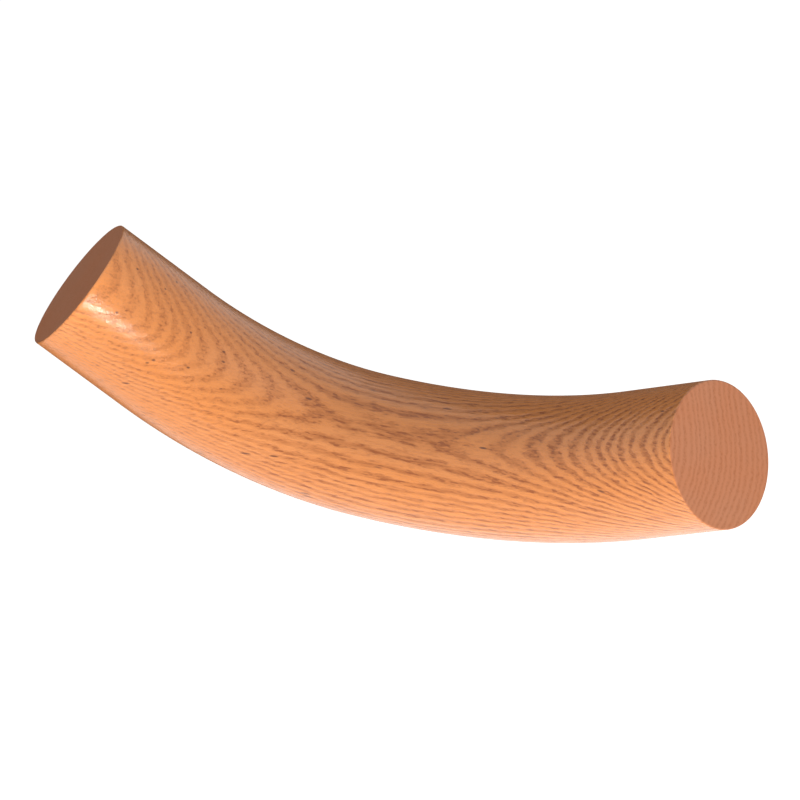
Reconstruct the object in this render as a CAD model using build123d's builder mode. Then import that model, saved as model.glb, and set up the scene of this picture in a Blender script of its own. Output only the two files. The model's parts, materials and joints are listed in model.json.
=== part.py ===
"""Handrail up easing: one length of solid round oak rail that leaves the level and rises.

Millimetres. The centre of the level end's face is the origin. The level rail that it is
joined to would go on along +X, the bend lies in the XZ plane, and the easing runs
towards -X while it rises towards +Z.
"""

import os

from build123d import *

# The rail's own section is a full round.
rail_diameter = 50.8

# The centreline, from the level end to the raked end: a straight stretch to join the
# level rail, a slow bend that starts the rise, a quicker bend that finishes it, and a
# straight stretch to join the raked rail.
level_run = 38.0
slow_bend_radius = 230.0
slow_bend_angle = 27.0
quick_bend_radius = 112.0
quick_bend_angle = 42.5
raked_run = 38.0

# Both ends are sawn square, and their rims are rubbed down with a small flat.
rim_flat = 0.5

rail_radius = rail_diameter / 2

with BuildPart() as up_easing:
    with BuildLine(Plane.XZ) as centreline:
        level = Line((0, 0), (-level_run, 0))
        slow_bend = JernArc(level @ 1, level % 1, slow_bend_radius, -slow_bend_angle)
        quick_bend = JernArc(slow_bend @ 1, slow_bend % 1, quick_bend_radius, -quick_bend_angle)
        raked = Line(quick_bend @ 1, quick_bend @ 1 + (quick_bend % 1) * raked_run)

    with BuildSketch(Plane(centreline.line @ 0, z_dir=centreline.line % 0)) as section:
        Circle(rail_radius)
    sweep()

    end_faces = up_easing.faces().filter_by(GeomType.PLANE)
    chamfer(end_faces.edges(), rim_flat)

raked_end = centreline.line @ 1
raked_axis = centreline.line % 1
print("raked end at", raked_end, "along", raked_axis)

os.makedirs("parts", exist_ok=True)
up_easing.part.label = "up_easing"
export_step(up_easing.part, "parts/up_easing.step")
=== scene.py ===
"""Looks of the handrail up easing: a round rail of red oak, lacquered, in plain studio light."""

import json
import math

import bmesh
import bpy
from mathutils import Matrix, Vector


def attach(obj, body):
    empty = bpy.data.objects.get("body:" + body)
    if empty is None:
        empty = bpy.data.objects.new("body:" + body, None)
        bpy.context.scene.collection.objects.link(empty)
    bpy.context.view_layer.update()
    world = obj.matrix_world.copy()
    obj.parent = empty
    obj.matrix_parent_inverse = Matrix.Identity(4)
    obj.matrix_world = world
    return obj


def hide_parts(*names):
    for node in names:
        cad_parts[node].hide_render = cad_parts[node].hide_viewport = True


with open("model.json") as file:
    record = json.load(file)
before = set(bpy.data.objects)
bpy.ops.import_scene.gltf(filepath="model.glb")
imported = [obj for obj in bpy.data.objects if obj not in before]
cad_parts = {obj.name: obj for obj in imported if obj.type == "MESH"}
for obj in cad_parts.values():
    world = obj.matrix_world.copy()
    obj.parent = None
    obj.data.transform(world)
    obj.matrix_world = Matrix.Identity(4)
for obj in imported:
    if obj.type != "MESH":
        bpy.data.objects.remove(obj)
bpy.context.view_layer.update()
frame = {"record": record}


# The rail.
# One length of solid red oak, worked to a full round that leaves the level and rises.
# Its body is drawn along the same centreline as the solid: straight, slow bend, quick
# bend, straight. Both ends are sawn square and their rims are rubbed down.
mm = 0.001
mounts = {mount["name"]: mount for mount in frame["record"]["mounts"]}
rail_radius = mounts["level_rail"]["dims"]["r_mm"] * mm
straight_run = 38.0 * mm
slow_bend_radius = 230.0 * mm
slow_bend_angle = math.radians(27.0)
quick_bend_radius = 112.0 * mm
quick_bend_angle = math.radians(42.5)
rim_flat = 0.5 * mm
facet_length = 1.0 * mm
facets_round = 144
side_material = 0
end_material = 1


def draw_on(bm, open_rim, length, centre=(0, 0, 0), angle=0.0, heading=(0, 0, 0)):
    """Carry the open rim on by a straight run or a bend, and return the new open rim."""
    steps = round(length / facet_length)
    drawn = bmesh.ops.spin(
        bm, geom=open_rim, cent=centre, axis=(0, 1, 0), angle=angle, steps=steps,
        dvec=Vector(heading) * length / steps)
    return [part for part in drawn["geom_last"] if isinstance(part, bmesh.types.BMEdge)]


bm = bmesh.new()
bmesh.ops.create_circle(
    bm, radius=rail_radius, segments=facets_round, matrix=Matrix.Rotation(math.pi / 2, 4, "Y"))
level_rim = bm.edges[:]
rim = draw_on(bm, level_rim, straight_run, heading=(-1, 0, 0))

slow_centre = Vector((-straight_run, 0, slow_bend_radius))
rim = draw_on(bm, rim, slow_bend_radius * slow_bend_angle, slow_centre, slow_bend_angle)

into_bend = Matrix.Rotation(slow_bend_angle, 3, "Y") @ Vector((0, 0, 1))
quick_centre = slow_centre + into_bend * (quick_bend_radius - slow_bend_radius)
rim = draw_on(bm, rim, quick_bend_radius * quick_bend_angle, quick_centre, quick_bend_angle)

raked_heading = Matrix.Rotation(slow_bend_angle + quick_bend_angle, 3, "Y") @ Vector((-1, 0, 0))
raked_rim = draw_on(bm, rim, straight_run, heading=raked_heading)

for end_rim in (level_rim, raked_rim):
    for face in bmesh.ops.contextual_create(bm, geom=end_rim)["faces"]:
        face.material_index = end_material
bmesh.ops.bevel(
    bm, geom=level_rim + raked_rim, offset=rim_flat, segments=3, profile=0.5,
    affect="EDGES", material=-1)
bmesh.ops.recalc_face_normals(bm, faces=bm.faces)
for face in bm.faces:
    face.smooth = face.material_index == side_material

mesh = bpy.data.meshes.new("oak_rail")
bm.to_mesh(mesh)
bm.free()
rail = bpy.data.objects.new("oak_rail", mesh)
bpy.context.collection.objects.link(rail)
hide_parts("up_easing")
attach(rail, "root")


# The wood is red oak, worked out of a straight plank. The bend cuts through the growth
# layers, which then show as nested arrow heads that point at the middle of the rail, where
# the cut runs along the layers.
def to_linear(colour):
    """A hex sRGB colour as the linear colour that a shader takes."""
    parts = [int(colour[i:i + 2], 16) / 255 for i in (1, 3, 5)]
    return [c / 12.92 if c <= 0.04045 else ((c + 0.055) / 1.055) ** 2.4 for c in parts] + [1.0]


def bare_tree(owner):
    """Give a material or the world an empty node tree."""
    owner.use_nodes = True
    owner.node_tree.nodes.clear()
    return owner.node_tree


def add(tree, kind, settings=None, links=None):
    """Add a node with its settings. Its inputs, by name or in order, take values or nodes."""
    node = tree.nodes.new(kind)
    for name, value in (settings or {}).items():
        setattr(node, name, value)
    inputs = links if isinstance(links, dict) else dict(enumerate(links or ()))
    for name, value in inputs.items():
        if isinstance(value, bpy.types.Node):
            value = value.outputs[0]
        if isinstance(value, bpy.types.NodeSocket):
            tree.links.new(value, node.inputs[name])
        else:
            node.inputs[name].default_value = value
    return node


multiply = {"operation": "MULTIPLY"}
multiply_add = {"operation": "MULTIPLY_ADD"}
smooth_steps = {"interpolation_type": "SMOOTHSTEP"}
colours = {"data_type": "RGBA"}

# The growth layers lie almost flat along the plank, but the stem was bowed, hooked at its
# far end and twisted, and had fluted sides. Heights are in millimetres for each reach of
# 100 mm along the plank from its middle, and each 25 mm aside of it.
plank_middle = Vector((-120.0, 0.0, 40.0))
plank_slope = math.radians(23.0)
plank_roll = math.radians(-30.8)
reach_unit = 100.0
aside_unit = 25.0
stem_bow = -18.1
stem_hook = -14.0
stem_curl = 1.2
stem_twist = -3.9
twist_growth = -6.3
ring_crown = -7.7
crown_growth = 0.7
stem_flute = 2.6
sway_height = 2.2

along = Vector((-math.cos(plank_slope), 0, math.sin(plank_slope)))
above = Vector((math.sin(plank_slope), 0, math.cos(plank_slope)))
outward = math.cos(plank_roll) * above + math.sin(plank_roll) * Vector((0, 1, 0))
turn = Matrix((along, outward.cross(along), outward))

grain_group = bpy.data.node_groups.new("oak_grain", "ShaderNodeTree")
for name in ("Layer", "Pores", "Dash", "Fibre", "Tone", "Fleck"):
    grain_group.interface.new_socket(name, in_out="OUTPUT", socket_type="NodeSocketFloat")
tree = grain_group
place = add(tree, "ShaderNodeTexCoord").outputs["Object"]
grain = add(tree, "ShaderNodeMapping", links={
    "Vector": place, "Scale": (1 / mm, 1 / mm, 1 / mm), "Rotation": turn.to_euler(),
    "Location": -(turn @ plank_middle)})

# What is finer than the layers is noise that is stretched along the fibres, to a length and
# a width in millimetres. Real pores and fibres are under 0.3 mm wide, and are drawn at about
# three times that so that they show.
stretched = {}
for name, length, width, start, detail, roughness in (
        ("sway", 9.0, 3.0, 0.0, 3.0, 0.6),
        ("pores", 8.0, 0.9, 0.0, 3.0, 0.6),
        ("dash", 5.0, 0.9, 40.0, 2.0, 0.6),
        ("fibre", 12.0, 0.9, 0.0, 4.0, 0.7),
        ("tone", 80.0, 20.0, 0.0, 2.0, 0.5)):
    fibres = add(tree, "ShaderNodeMapping", links={
        "Vector": grain, "Location": (start, 0, 0), "Scale": (1 / length, 1 / width, 1 / width)})
    stretched[name] = add(tree, "ShaderNodeTexNoise", links={
        "Vector": fibres, "Scale": 1.0, "Detail": detail, "Roughness": roughness})

axes = add(tree, "ShaderNodeSeparateXYZ", links=(grain,)).outputs
reach = add(tree, "ShaderNodeMath", {"operation": "DIVIDE"}, (axes[0], reach_unit))
aside = add(tree, "ShaderNodeMath", {"operation": "DIVIDE"}, (axes[1], aside_unit))
reach_squared = add(tree, "ShaderNodeMath", multiply, (reach, reach))
aside_squared = add(tree, "ShaderNodeMath", multiply, (aside, aside))
reach_aside = add(tree, "ShaderNodeMath", multiply, (reach, aside))
bow = add(tree, "ShaderNodeMath", multiply_add, (reach, stem_curl, stem_hook))
bow = add(tree, "ShaderNodeMath", multiply_add, (bow, reach, stem_bow))
height = add(tree, "ShaderNodeMath", multiply_add, (bow, reach_squared, axes[2]))
twist = add(tree, "ShaderNodeMath", multiply_add, (reach, twist_growth, stem_twist))
height = add(tree, "ShaderNodeMath", multiply_add, (twist, reach_aside, height))
crown = add(tree, "ShaderNodeMath", multiply_add, (aside_squared, stem_flute, ring_crown))
crown = add(tree, "ShaderNodeMath", multiply_add, (reach, crown_growth, crown))
height = add(tree, "ShaderNodeMath", multiply_add, (crown, aside_squared, height))
sway = add(tree, "ShaderNodeMath", multiply_add, (stretched["sway"], sway_height, -sway_height / 2))
height = add(tree, "ShaderNodeMath", {"operation": "ADD"}, (height, sway))

# Rings are 2.2 mm thick, but good and lean years come in runs of about ten and six years.
# Each year's band of spring wood has a darkness of its own, and all of them fade towards
# the raked end.
ring_thickness = 2.18
first_ring = 0.845
palest_year = 0.75
band_edge = 0.42
band_core = 0.06
fade_start = 0.1
fade_end = 0.7
faded = 0.6
years = add(tree, "ShaderNodeMath", multiply_add, (height, 1 / ring_thickness, first_ring))
for run_thickness, start, gain in ((21.551, 1.82, 0.095), (13.383, 3.37, 0.143)):
    run = add(tree, "ShaderNodeMath", multiply_add, (height, math.tau / run_thickness, start))
    run = add(tree, "ShaderNodeMath", {"operation": "SINE"}, (run,))
    years = add(tree, "ShaderNodeMath", multiply_add, (run, gain, years))
year = add(tree, "ShaderNodeMath", {"operation": "ROUND"}, (years,))
strength = add(tree, "ShaderNodeTexWhiteNoise", {"noise_dimensions": "1D"}, {"W": year}).outputs["Value"]
strength = add(tree, "ShaderNodeMath", multiply_add, (strength, 1 - palest_year, palest_year))
band = add(tree, "ShaderNodeMath", {"operation": "PINGPONG"}, (years, 0.5))
band = add(tree, "ShaderNodeMapRange", smooth_steps, {
    "Value": band, "From Min": band_edge, "From Max": band_core})
layer = add(tree, "ShaderNodeMath", multiply, (band, strength))
fade = add(tree, "ShaderNodeMapRange", smooth_steps, {
    "Value": reach, "From Min": fade_start, "From Max": fade_end, "To Min": 1.0, "To Max": faded})
layer = add(tree, "ShaderNodeMath", multiply, (layer, fade))

# Pores fill the bands of spring wood. Dashes are the widest vessels, cut lengthwise: most
# are in the bands and some between them. Flecks are rare dark spots, up to 6 mm long, and
# one in twenty of the places for a fleck has one.
dash_between = 0.3
fleck_every_along = 10.0
fleck_every_across = 1.7
fleck_share = 0.05
pores = add(tree, "ShaderNodeMapRange", smooth_steps, {
    "Value": stretched["pores"], "From Min": 0.40, "From Max": 0.66})
dash = add(tree, "ShaderNodeMapRange", smooth_steps, {
    "Value": stretched["dash"], "From Min": 0.51, "From Max": 0.66})
dash_strength = add(tree, "ShaderNodeMath", multiply_add, (layer, 1 - dash_between, dash_between))
dash = add(tree, "ShaderNodeMath", multiply, (dash, dash_strength))
fleck = add(tree, "ShaderNodeMapping", links={
    "Vector": grain,
    "Scale": (1 / fleck_every_along, 1 / fleck_every_across, 1 / fleck_every_across)})
fleck = add(tree, "ShaderNodeTexVoronoi", links={"Vector": fleck, "Scale": 1.0}).outputs
chosen = add(tree, "ShaderNodeSeparateColor", links=(fleck["Color"],))
chosen = add(tree, "ShaderNodeMath", {"operation": "GREATER_THAN"}, (chosen, 1 - fleck_share))
fleck = add(tree, "ShaderNodeMapRange", smooth_steps, {
    "Value": fleck["Distance"], "From Min": 0.30, "From Max": 0.12})
fleck = add(tree, "ShaderNodeMath", multiply, (fleck, chosen))
add(tree, "NodeGroupOutput", links={
    "Layer": layer, "Pores": pores, "Dash": dash, "Fibre": stretched["fibre"],
    "Tone": stretched["tone"], "Fleck": fleck})

# The sides are sanded oak under a clear satin lacquer, which is too thin to fill the pores.
# The eye gets a warm honey brown with dark, slightly sunken grain, and a soft shine that the
# fibres break up.
honey = to_linear("#e58c3e")
rosy_honey = to_linear("#df945a")
grain_brown = to_linear("#9a5423")
fleck_brown = to_linear("#74401f")
pores_in_band = 0.5
fibre_shade = 0.9
fibre_pale = -0.42
pore_shade = 0.82
dash_shade = 0.62
smoothest = 0.14
fibre_roughness = 0.24
pore_roughness = 0.25
fibre_relief = 0.7
pore_depth = 0.13 * mm
lacquer_roughness = 0.2
oak = bpy.data.materials.new("lacquered_red_oak")
tree = bare_tree(oak)
wood = add(tree, "ShaderNodeGroup", {"node_tree": grain_group}).outputs
open_pores = add(tree, "ShaderNodeMath", multiply_add, (wood["Pores"], pores_in_band, 1 - pores_in_band))
open_pores = add(tree, "ShaderNodeMath", multiply, (open_pores, wood["Layer"]))
base = add(tree, "ShaderNodeMix", colours, {0: wood["Tone"], "A": honey, "B": rosy_honey}).outputs["Result"]
darker = add(tree, "ShaderNodeMath", multiply_add, (wood["Fibre"], fibre_shade, fibre_pale))
darker = add(tree, "ShaderNodeMath", multiply_add, (open_pores, pore_shade, darker))
darker = add(tree, "ShaderNodeMath", multiply_add, (wood["Dash"], dash_shade, darker))
darker = add(tree, "ShaderNodeClamp", links=(darker,))
colour = add(tree, "ShaderNodeMix", colours, {0: darker, "A": base, "B": grain_brown}).outputs["Result"]
colour = add(tree, "ShaderNodeMix", colours, {
    0: wood["Fleck"], "A": colour, "B": fleck_brown}).outputs["Result"]
roughness = add(tree, "ShaderNodeMath", multiply_add, (wood["Fibre"], fibre_roughness, smoothest))
roughness = add(tree, "ShaderNodeMath", multiply_add, (open_pores, pore_roughness, roughness))
relief = add(tree, "ShaderNodeMath", multiply, (wood["Fibre"], fibre_relief))
relief = add(tree, "ShaderNodeMath", multiply_add, (open_pores, -1.0, relief))
bump = add(tree, "ShaderNodeBump", links={"Height": relief, "Strength": 0.7, "Distance": pore_depth})
skin = add(tree, "ShaderNodeBsdfPrincipled", links={
    "Base Color": colour, "Roughness": roughness, "IOR": 1.5, "Coat Weight": 0.4,
    "Coat Roughness": lacquer_roughness, "Normal": bump, "Coat Normal": bump})
add(tree, "ShaderNodeOutputMaterial", links=(skin,))
mesh.materials.append(oak)

# The sawn ends show the same layers end on. End grain drinks the lacquer, so to the eye it is
# darker, redder and duller than the sides, and its pores are dots.
end_brown = to_linear("#c97b4e")
rosy_end_brown = to_linear("#c38563")
end_pore_brown = to_linear("#7c452a")
pores_in_end_band = 0.6
end_pore_shade = 0.3
end_roughness = 0.42
end_pore_roughness = 0.25
end_pore_depth = 0.1 * mm
end_grain = bpy.data.materials.new("sawn_oak_end_grain")
tree = bare_tree(end_grain)
wood = add(tree, "ShaderNodeGroup", {"node_tree": grain_group}).outputs
open_pores = add(tree, "ShaderNodeMath", multiply_add, (
    wood["Pores"], pores_in_end_band, 1 - pores_in_end_band))
open_pores = add(tree, "ShaderNodeMath", multiply, (open_pores, wood["Layer"]))
base = add(tree, "ShaderNodeMix", colours, {
    0: wood["Tone"], "A": end_brown, "B": rosy_end_brown}).outputs["Result"]
darker = add(tree, "ShaderNodeMath", multiply, (open_pores, end_pore_shade))
colour = add(tree, "ShaderNodeMix", colours, {
    0: darker, "A": base, "B": end_pore_brown}).outputs["Result"]
roughness = add(tree, "ShaderNodeMath", multiply_add, (open_pores, end_pore_roughness, end_roughness))
relief = add(tree, "ShaderNodeMath", multiply, (open_pores, -1.0))
bump = add(tree, "ShaderNodeBump", links={"Height": relief, "Strength": 0.4, "Distance": end_pore_depth})
skin = add(tree, "ShaderNodeBsdfPrincipled", links={
    "Base Color": colour, "Roughness": roughness, "IOR": 1.5, "Normal": bump})
add(tree, "ShaderNodeOutputMaterial", links=(skin,))
mesh.materials.append(end_grain)


# The studio.
# A pale paper floor lies well below the rail and throws the lamps' light up under it. Rays
# of the camera, a mirror or glass find floor and world white, and other rays find a dim world.
floor_drop = 0.75
floor_size = 2.0
floor_glow = 0.92
fill_light = 0.12
pure_white = (1, 1, 1, 1)
greatest = {"operation": "MAXIMUM"}


def seen_straight(tree):
    """1 for a ray from the camera, a mirror or glass, and 0 for one that gathers light."""
    ray = add(tree, "ShaderNodeLightPath").outputs
    seen = add(tree, "ShaderNodeMath", greatest, (ray["Is Camera Ray"], ray["Is Glossy Ray"]))
    return add(tree, "ShaderNodeMath", greatest, (seen, ray["Is Transmission Ray"]))


def flat_sheet(name, size, place, material):
    """A square sheet for the studio, at its place and in its material."""
    bm = bmesh.new()
    bmesh.ops.create_grid(bm, x_segments=1, y_segments=1, size=size, matrix=place)
    mesh = bpy.data.meshes.new(name)
    bm.to_mesh(mesh)
    bm.free()
    mesh.materials.append(material)
    sheet = bpy.data.objects.new(name, mesh)
    bpy.context.collection.objects.link(sheet)
    return sheet


paper = bpy.data.materials.new("pale_floor")
tree = bare_tree(paper)
matt = add(tree, "ShaderNodeBsdfDiffuse", links={"Color": to_linear("#e6e4e0")})
glow = add(tree, "ShaderNodeMath", multiply, (seen_straight(tree), floor_glow))
glow = add(tree, "ShaderNodeEmission", links={"Color": pure_white, "Strength": glow})
both = add(tree, "ShaderNodeAddShader", links=(matt, glow))
add(tree, "ShaderNodeOutputMaterial", links=(both,))
floor = flat_sheet("floor", floor_size, Matrix.Translation((0, 0, -floor_drop)), paper)

world = bpy.data.worlds.new("studio")
bpy.context.scene.world = world
tree = bare_tree(world)
dim = add(tree, "ShaderNodeBackground", links={"Color": pure_white, "Strength": fill_light})
white = add(tree, "ShaderNodeBackground", links={"Color": pure_white, "Strength": 1.0})
mixed = add(tree, "ShaderNodeMixShader", links=(seen_straight(tree), dim, white))
add(tree, "ShaderNodeOutputWorld", links=(mixed,))


def lamp(name, towards, distance, size, power, colour, aim):
    """A square soft lamp that looks at the aim, kept out of what the lacquer mirrors."""
    light = bpy.data.lights.new(name, "AREA")
    light.size = size
    light.energy = power
    light.color = colour
    holder = bpy.data.objects.new(name, light)
    back = Vector(towards).normalized()
    holder.rotation_euler = back.to_track_quat("Z", "Y").to_euler()
    holder.location = aim + back * distance
    holder.visible_camera = False
    holder.visible_glossy = False
    bpy.context.collection.objects.link(holder)


# The lamps and the camera look at the middle of the rail. Each lamp has its direction from
# there, its distance and size in metres, and its power in watts.
aim = Vector((-0.1154, 0.0013, 0.0438))
warm = (1.0, 0.92, 0.82)
cool = (0.95, 0.98, 1.06)
lamp("key", (0.66, -0.74, -0.11), 1.1, 0.5, 10.6, warm, aim)
lamp("top", (0.68, 0.08, 0.73), 1.2, 1.0, 4.7, cool, aim)
lamp("left", (-0.66, -0.36, 0.66), 1.1, 1.0, 2.4, cool, aim)
lamp("low", (-0.24, -0.87, -0.42), 1.0, 0.7, 6.4, warm, aim)
lamp("back", (-0.20, 0.93, 0.30), 1.2, 1.0, 3.4, cool, aim)

# A snooted spot with a narrow beam puts a glint on the lacquer next to the raked end.
glint_place = Vector((-0.1945, -0.0163, 0.137))
glint_back = Vector((0.703, -0.710, 0.015)).normalized()
glint_distance = 1.1
spot = bpy.data.lights.new("glint", "SPOT")
spot.energy = 20.0
spot.color = (1.0, 0.96, 0.92)
spot.spot_size = math.radians(3.4)
spot.spot_blend = 1.0
spot.shadow_soft_size = 0.02
glint = bpy.data.objects.new("glint", spot)
glint.location = glint_place + glint_back * glint_distance
glint.rotation_euler = glint_back.to_track_quat("Z", "Y").to_euler()
glint.visible_camera = False
bpy.context.collection.objects.link(glint)

# A grey card stands upright behind the rail, and only mirrors see it. The rail's upper edge
# mirrors it: without it, the white studio would wash that edge out.
card_size = 1.1
card_place = Matrix.Translation(aim + Vector((-1.0, 0.58, 0.0)))
card_turn = Vector((0.87, -0.50, 0.0)).to_track_quat("Z", "Y").to_matrix().to_4x4()
felt = bpy.data.materials.new("grey_felt")
tree = bare_tree(felt)
matt = add(tree, "ShaderNodeBsdfDiffuse", links={"Color": to_linear("#686868")})
add(tree, "ShaderNodeOutputMaterial", links=(matt,))
card = flat_sheet("grey_card", card_size, card_place @ card_turn, felt)
card.visible_camera = False
card.visible_diffuse = False
card.visible_shadow = False

# The camera stands where the photograph's own stood: far off, with a long lens, and rolled.
camera_azimuth = math.radians(52.11)
camera_elevation = math.radians(30.04)
camera_roll = math.radians(40.53)
camera_distance = 2.1391
camera = bpy.data.cameras.new("camera")
camera.lens = 278.65
camera.sensor_width = 36.0
eye = bpy.data.objects.new("camera", camera)
back = Vector((
    math.sin(camera_azimuth) * math.cos(camera_elevation),
    -math.cos(camera_azimuth) * math.cos(camera_elevation),
    math.sin(camera_elevation)))
eye.location = aim + back * camera_distance
eye.rotation_euler = (
    back.to_track_quat("Z", "Y").to_matrix() @ Matrix.Rotation(-camera_roll, 3, "Z")).to_euler()
bpy.context.collection.objects.link(eye)
bpy.context.scene.camera = eye
bpy.context.scene.view_settings.view_transform = "Standard"
